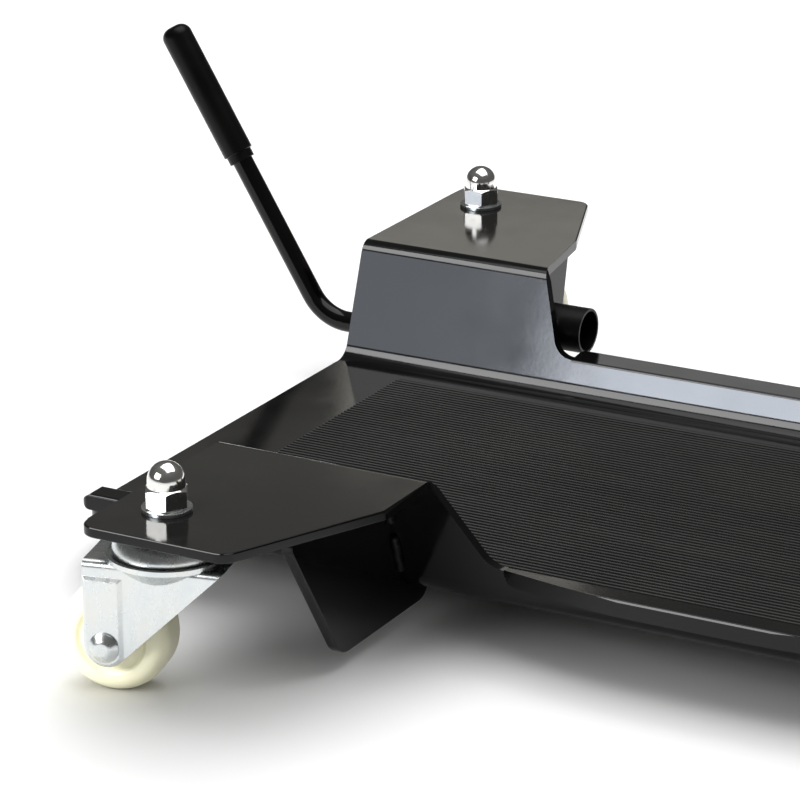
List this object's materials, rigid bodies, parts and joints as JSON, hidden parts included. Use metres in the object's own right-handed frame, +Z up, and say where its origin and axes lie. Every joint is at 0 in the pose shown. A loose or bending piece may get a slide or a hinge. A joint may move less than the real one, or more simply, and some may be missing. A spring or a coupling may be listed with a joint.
{
  "type": "motorcycle dolly",
  "caption": "Low bent-sheet dolly tray with raised wings on swivel casters, a ribbed mat and a folding side lever, for moving a parked motorcycle by hand.",
  "frame": {"origin": "on the ground under the middle of the bounding box, with the casters standing on the ground", "axes": "+X along the tray away from the lever end, +Y across it towards the lever side, +Z up"},
  "size_m": [0.856, 0.574, 0.1946],
  "materials": {
    "black_paint": "gloss black paint",
    "mat_rubber": "matte ribbed rubber",
    "grip_sleeve": "smooth black sleeve",
    "zinc": "bright zinc plate",
    "nut_chrome": "polished plating",
    "ball_steel": "plain steel",
    "wheel_nylon": "cream nylon"
  },
  "bodies": {
    "frame": {"tray": "black_paint", "mat": "mat_rubber", "gusset_near_a": "black_paint", "gusset_near_b": "black_paint", "gusset_far_a": "black_paint", "gusset_far_b": "black_paint", "socket_tube": "black_paint", "lever_lug": "black_paint", "cap_nuts": "nut_chrome", "washers": "zinc", "caster_near_a_race": "zinc", "caster_near_a_stem": "zinc", "caster_far_a_race": "zinc", "caster_far_a_stem": "zinc", "caster_near_b_race": "zinc", "caster_near_b_stem": "zinc", "caster_far_b_race": "zinc", "caster_far_b_stem": "zinc"},
    "lever": {"lever_bar": "black_paint", "lever_grip": "grip_sleeve", "lever_collar": "zinc"},
    "swivel_near_a": {"caster_near_a_fork": "zinc", "caster_near_a_balls": "ball_steel", "caster_near_a_axle": "zinc", "caster_near_a_axle_nut": "zinc"},
    "wheel_near_a": {"caster_near_a_wheel": "wheel_nylon", "caster_near_a_bush": "ball_steel"},
    "swivel_far_a": {"caster_far_a_fork": "zinc", "caster_far_a_balls": "ball_steel", "caster_far_a_axle": "zinc", "caster_far_a_axle_nut": "zinc"},
    "wheel_far_a": {"caster_far_a_wheel": "wheel_nylon", "caster_far_a_bush": "ball_steel"},
    "swivel_near_b": {"caster_near_b_fork": "zinc", "caster_near_b_balls": "ball_steel", "caster_near_b_axle": "zinc", "caster_near_b_axle_nut": "zinc"},
    "wheel_near_b": {"caster_near_b_wheel": "wheel_nylon", "caster_near_b_bush": "ball_steel"},
    "swivel_far_b": {"caster_far_b_fork": "zinc", "caster_far_b_balls": "ball_steel", "caster_far_b_axle": "zinc", "caster_far_b_axle_nut": "zinc"},
    "wheel_far_b": {"caster_far_b_wheel": "wheel_nylon", "caster_far_b_bush": "ball_steel"}
  },
  "joints": [
    {"name": "lever_fold", "type": "hinge", "parent": "frame", "child": "lever", "pos_m": [-0.19373, 0.182, 0.0305], "axis": [1, 0, 0], "range_deg": [-95, 95]},
    {"name": "swivel_near_a", "type": "hinge", "parent": "frame", "child": "swivel_near_a", "pos_m": [-0.15823, -0.251, 0.069], "axis": [0, 0, 1], "continuous": true},
    {"name": "roll_near_a", "type": "hinge", "parent": "swivel_near_a", "child": "wheel_near_a", "pos_m": [-0.1822, -0.25653, 0.027], "axis": [0.225, -0.9744, 0], "continuous": true},
    {"name": "swivel_far_a", "type": "hinge", "parent": "frame", "child": "swivel_far_a", "pos_m": [-0.25723, 0.251, 0.069], "axis": [0, 0, 1], "continuous": true},
    {"name": "roll_far_a", "type": "hinge", "parent": "swivel_far_a", "child": "wheel_far_a", "pos_m": [-0.23412, 0.25941, 0.027], "axis": [-0.342, 0.9397, 0], "continuous": true},
    {"name": "swivel_near_b", "type": "hinge", "parent": "frame", "child": "swivel_near_b", "pos_m": [0.29076, -0.251, 0.069], "axis": [0, 0, 1], "continuous": true},
    {"name": "roll_near_b", "type": "hinge", "parent": "swivel_near_b", "child": "wheel_near_b", "pos_m": [0.2664, -0.24758, 0.027], "axis": [-0.1392, -0.9903, 0], "continuous": true},
    {"name": "swivel_far_b", "type": "hinge", "parent": "frame", "child": "swivel_far_b", "pos_m": [0.38976, 0.251, 0.069], "axis": [0, 0, 1], "continuous": true},
    {"name": "roll_far_b", "type": "hinge", "parent": "swivel_far_b", "child": "wheel_far_b", "pos_m": [0.36747, 0.2406, 0.027], "axis": [0.4226, -0.9063, 0], "continuous": true}
  ]
}
